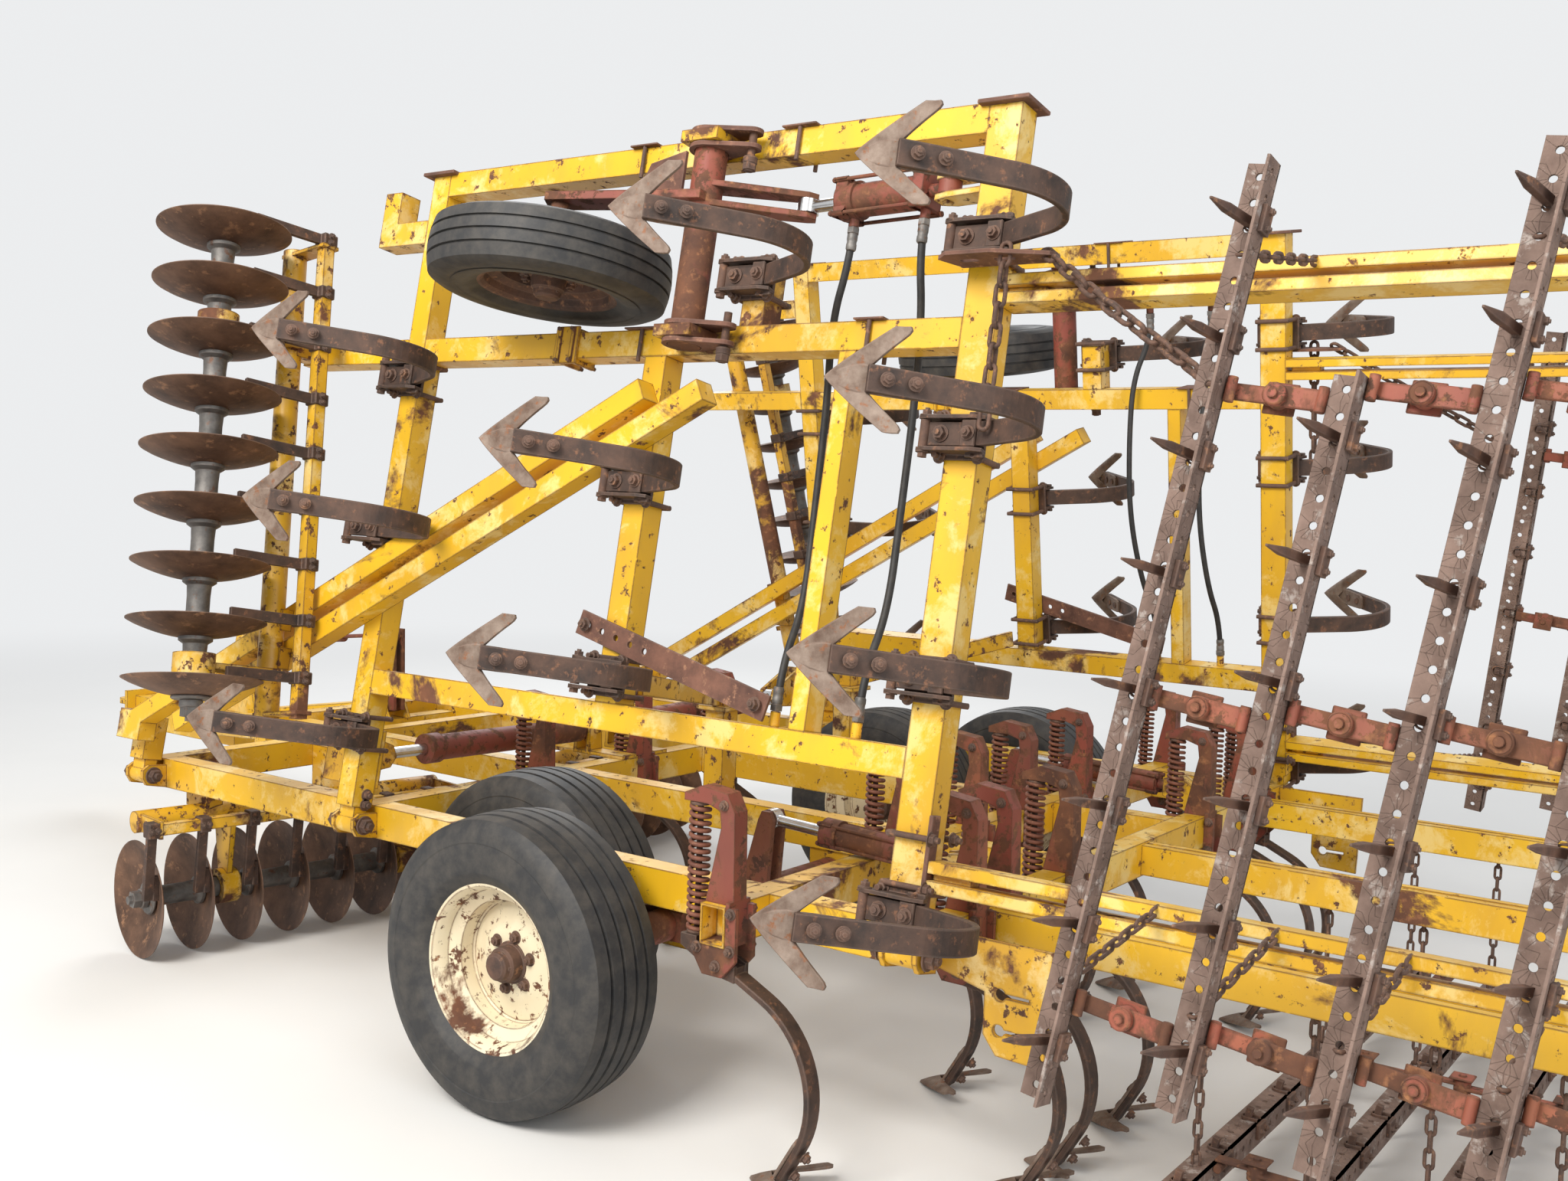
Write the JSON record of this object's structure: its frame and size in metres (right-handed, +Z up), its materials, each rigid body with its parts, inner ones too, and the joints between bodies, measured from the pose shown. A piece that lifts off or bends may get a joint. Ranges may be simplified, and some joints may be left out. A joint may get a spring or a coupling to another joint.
{
  "type": "mulch finisher",
  "caption": "Towed mulch finisher with a disc gang and sprung sweeps on a wheeled centre frame and two folded wings, with drag harrows behind.",
  "frame": {"origin": "on the ground, below the middle of the machine's bounding box", "axes": "+X to the machine's right, +Y forwards to the hitch, +Z up"},
  "size_m": [3.8806, 7.2864, 2.6582],
  "materials": {
    "yellow_paint": "satin",
    "red_steel": "matt",
    "rusty_steel": "matt",
    "worn_steel": "matt",
    "disc_steel": "matt",
    "tyre": "matt",
    "hose": "matt",
    "chrome": "polished"
  },
  "bodies": {
    "frame": {"cross_tubes": "yellow_paint", "rails": "yellow_paint", "nose_beam": "yellow_paint", "frame_brackets": "yellow_paint", "centre_gang_beams": "yellow_paint", "trip_brackets": "red_steel", "trip_springs": "red_steel", "trip_shanks": "worn_steel", "harrow_arms": "yellow_paint", "harrow": "rusty_steel"},
    "drawbar": {"drawbar": "yellow_paint", "drawbar_arms": "yellow_paint"},
    "level_crank": {"level_crank": "red_steel"},
    "level_link": {"level_link": "red_steel"},
    "lift_gear": {"rockshaft": "red_steel", "walking_beams": "yellow_paint"},
    "wheel_outer_right": {"wheel_outer_right": "tyre"},
    "wheel_inner_right": {"wheel_inner_right": "tyre"},
    "lift_barrel_right": {"lift_barrel_right": "red_steel"},
    "lift_rod_right": {"lift_rod_right": "chrome"},
    "wheel_outer_left": {"wheel_outer_left": "tyre"},
    "wheel_inner_left": {"wheel_inner_left": "tyre"},
    "lift_barrel_left": {"lift_barrel_left": "red_steel"},
    "lift_rod_left": {"lift_rod_left": "chrome"},
    "centre_gang_right": {"centre_gang_right": "disc_steel"},
    "centre_gang_left": {"centre_gang_left": "disc_steel"},
    "wing_right": {"wing_posts_right": "yellow_paint", "wing_beams_right": "yellow_paint", "wing_braces_right": "yellow_paint", "wing_brackets_right": "yellow_paint", "wing_gang_beam_right": "yellow_paint", "wing_shanks_right": "worn_steel", "wing_harrow_arms_right": "yellow_paint", "wing_harrow_right": "rusty_steel", "hose_front_right": "hose", "hose_rear_right": "hose"},
    "fold_barrel_right": {"fold_barrel_right": "red_steel"},
    "fold_rod_right": {"fold_rod_right": "chrome"},
    "wing_rockshaft_right": {"wing_rockshaft_right": "red_steel"},
    "wing_wheel_right": {"wing_wheel_right": "tyre"},
    "wing_gang_right": {"wing_gang_right": "disc_steel"},
    "wing_lift_barrel_right": {"wing_lift_barrel_right": "red_steel"},
    "wing_lift_rod_right": {"wing_lift_rod_right": "chrome"},
    "wing_left": {"wing_posts_left": "yellow_paint", "wing_beams_left": "yellow_paint", "wing_braces_left": "yellow_paint", "wing_brackets_left": "yellow_paint", "wing_gang_beam_left": "yellow_paint", "wing_shanks_left": "worn_steel", "wing_harrow_arms_left": "yellow_paint", "wing_harrow_left": "rusty_steel", "hose_front_left": "hose", "hose_rear_left": "hose"},
    "fold_barrel_left": {"fold_barrel_left": "red_steel"},
    "fold_rod_left": {"fold_rod_left": "chrome"},
    "wing_rockshaft_left": {"wing_rockshaft_left": "red_steel"},
    "wing_wheel_left": {"wing_wheel_left": "tyre"},
    "wing_gang_left": {"wing_gang_left": "disc_steel"},
    "wing_lift_barrel_left": {"wing_lift_barrel_left": "red_steel"},
    "wing_lift_rod_left": {"wing_lift_rod_left": "chrome"}
  },
  "joints": [
    {"name": "drawbar_swing", "type": "hinge", "parent": "frame", "child": "drawbar", "pos_m": [0, 1.85, 0.62], "axis": [-1, 0, 0], "range_deg": [-4, 9]},
    {"name": "level_crank_turn", "type": "hinge", "parent": "frame", "child": "level_crank", "pos_m": [0, 1.628, 0.705], "axis": [-1, 0, 0], "range_deg": [-4, 10]},
    {"name": "level_link_turn", "type": "hinge", "parent": "drawbar", "child": "level_link", "pos_m": [0, 2.66, 0.9], "axis": [-1, 0, 0], "range_deg": [-2, 1]},
    {"name": "lift", "type": "hinge", "parent": "frame", "child": "lift_gear", "pos_m": [0, -0.95, 0.5], "axis": [-1, 0, 0], "range_deg": [-10, 30]},
    {"name": "wheel_outer_right_spin", "type": "hinge", "parent": "lift_gear", "child": "wheel_outer_right", "pos_m": [1.48, -0.67, 0.405], "axis": [1, 0, 0], "continuous": true},
    {"name": "wheel_inner_right_spin", "type": "hinge", "parent": "lift_gear", "child": "wheel_inner_right", "pos_m": [1, -0.28, 0.405], "axis": [1, 0, 0], "continuous": true},
    {"name": "lift_barrel_right_turn", "type": "hinge", "parent": "frame", "child": "lift_barrel_right", "pos_m": [0.78, -1.6, 0.7], "axis": [-1, 0, 0], "range_deg": [-1, 1]},
    {"name": "lift_rod_right_slide", "type": "slide", "parent": "lift_barrel_right", "child": "lift_rod_right", "axis": [0, 0.9987, 0.0515], "range_m": [-0.045, 0.125]},
    {"name": "wheel_outer_left_spin", "type": "hinge", "parent": "lift_gear", "child": "wheel_outer_left", "pos_m": [-1.48, -0.67, 0.405], "axis": [1, 0, 0], "continuous": true},
    {"name": "wheel_inner_left_spin", "type": "hinge", "parent": "lift_gear", "child": "wheel_inner_left", "pos_m": [-1, -0.28, 0.405], "axis": [1, 0, 0], "continuous": true},
    {"name": "lift_barrel_left_turn", "type": "hinge", "parent": "frame", "child": "lift_barrel_left", "pos_m": [-0.78, -1.6, 0.7], "axis": [-1, 0, 0], "range_deg": [-1, 1]},
    {"name": "lift_rod_left_slide", "type": "slide", "parent": "lift_barrel_left", "child": "lift_rod_left", "axis": [0, 0.9987, 0.0515], "range_m": [-0.045, 0.125]},
    {"name": "centre_gang_right_spin", "type": "hinge", "parent": "frame", "child": "centre_gang_right", "pos_m": [0.84, 1.147, 0.205], "axis": [0.9877, 0.1564, 0], "continuous": true},
    {"name": "centre_gang_left_spin", "type": "hinge", "parent": "frame", "child": "centre_gang_left", "pos_m": [-0.84, 1.147, 0.205], "axis": [0.9877, -0.1564, 0], "continuous": true},
    {"name": "fold_right", "type": "hinge", "parent": "frame", "child": "wing_right", "pos_m": [1.335, -0.2, 0.62], "axis": [0, 1, 0], "range_deg": [0, 100]},
    {"name": "fold_barrel_right_turn", "type": "hinge", "parent": "frame", "child": "fold_barrel_right", "pos_m": [0.085, 0.385, 0.76], "axis": [0, -1, 0], "range_deg": [-1, 4]},
    {"name": "fold_rod_right_slide", "type": "slide", "parent": "fold_barrel_right", "child": "fold_rod_right", "axis": [0.9998, 0, 0.0188], "range_m": [-0.005, 0.46]},
    {"name": "wing_lift_right", "type": "hinge", "parent": "wing_right", "child": "wing_rockshaft_right", "pos_m": [1.1047, -0.93, 2.47316], "axis": [0.1736, 0, -0.9848], "range_deg": [-10, 30]},
    {"name": "wing_wheel_right_spin", "type": "hinge", "parent": "wing_rockshaft_right", "child": "wing_wheel_right", "pos_m": [1.2495, -0.5, 2.28545], "axis": [-0.1736, 0, 0.9848], "continuous": true},
    {"name": "wing_gang_right_spin", "type": "hinge", "parent": "wing_right", "child": "wing_gang_right", "pos_m": [1.56449, 0.63, 1.70839], "axis": [-0.1715, 0.1564, 0.9727], "continuous": true},
    {"name": "wing_lift_barrel_right_turn", "type": "hinge", "parent": "wing_right", "child": "wing_lift_barrel_right", "pos_m": [0.99637, -1.625, 2.45406], "axis": [0.1736, 0, -0.9848], "range_deg": [-12, 5]},
    {"name": "wing_lift_rod_right_slide", "type": "slide", "parent": "wing_lift_barrel_right", "child": "wing_lift_rod_right", "axis": [-0.0755, 0.9971, -0.0133], "range_m": [-0.04, 0.112]},
    {"name": "fold_left", "type": "hinge", "parent": "frame", "child": "wing_left", "pos_m": [-1.335, -0.2, 0.62], "axis": [0, -1, 0], "range_deg": [0, 100]},
    {"name": "fold_barrel_left_turn", "type": "hinge", "parent": "frame", "child": "fold_barrel_left", "pos_m": [-0.085, 0.385, 0.76], "axis": [0, 1, 0], "range_deg": [-1, 4]},
    {"name": "fold_rod_left_slide", "type": "slide", "parent": "fold_barrel_left", "child": "fold_rod_left", "axis": [-0.9998, 0, 0.0188], "range_m": [-0.005, 0.46]},
    {"name": "wing_lift_left", "type": "hinge", "parent": "wing_left", "child": "wing_rockshaft_left", "pos_m": [-1.1047, -0.93, 2.47316], "axis": [0.1736, 0, 0.9848], "range_deg": [-10, 30]},
    {"name": "wing_wheel_left_spin", "type": "hinge", "parent": "wing_rockshaft_left", "child": "wing_wheel_left", "pos_m": [-1.2495, -0.5, 2.28545], "axis": [-0.1736, 0, -0.9848], "continuous": true},
    {"name": "wing_gang_left_spin", "type": "hinge", "parent": "wing_left", "child": "wing_gang_left", "pos_m": [-1.56449, 0.63, 1.70839], "axis": [-0.1715, -0.1564, -0.9727], "continuous": true},
    {"name": "wing_lift_barrel_left_turn", "type": "hinge", "parent": "wing_left", "child": "wing_lift_barrel_left", "pos_m": [-0.99637, -1.625, 2.45406], "axis": [0.1736, 0, 0.9848], "range_deg": [-12, 5]},
    {"name": "wing_lift_rod_left_slide", "type": "slide", "parent": "wing_lift_barrel_left", "child": "wing_lift_rod_left", "axis": [0.0755, 0.9971, -0.0133], "range_m": [-0.04, 0.112]}
  ],
  "couplings": [
    {"joint": "drawbar_swing", "follows": "lift", "ratio": 0.25},
    {"joint": "level_crank_turn", "follows": "lift", "ratio": 0.287},
    {"joint": "level_link_turn", "follows": "lift", "ratio": -0.052},
    {"joint": "lift_barrel_right_turn", "follows": "lift", "ratio": 0.02},
    {"joint": "lift_rod_right_slide", "follows": "lift", "m_per_rad": 0.2303},
    {"joint": "lift_barrel_left_turn", "follows": "lift", "ratio": 0.02},
    {"joint": "lift_rod_left_slide", "follows": "lift", "m_per_rad": 0.2303},
    {"joint": "fold_barrel_right_turn", "follows": "fold_right", "ratio": 0.0208},
    {"joint": "fold_rod_right_slide", "follows": "fold_right", "m_per_rad": 0.2597},
    {"joint": "wing_lift_barrel_right_turn", "follows": "wing_lift_right", "ratio": -0.35},
    {"joint": "wing_lift_rod_right_slide", "follows": "wing_lift_right", "m_per_rad": 0.205},
    {"joint": "fold_barrel_left_turn", "follows": "fold_left", "ratio": 0.0208},
    {"joint": "fold_rod_left_slide", "follows": "fold_left", "m_per_rad": 0.2597},
    {"joint": "wing_lift_barrel_left_turn", "follows": "wing_lift_left", "ratio": -0.35},
    {"joint": "wing_lift_rod_left_slide", "follows": "wing_lift_left", "m_per_rad": 0.205}
  ]
}
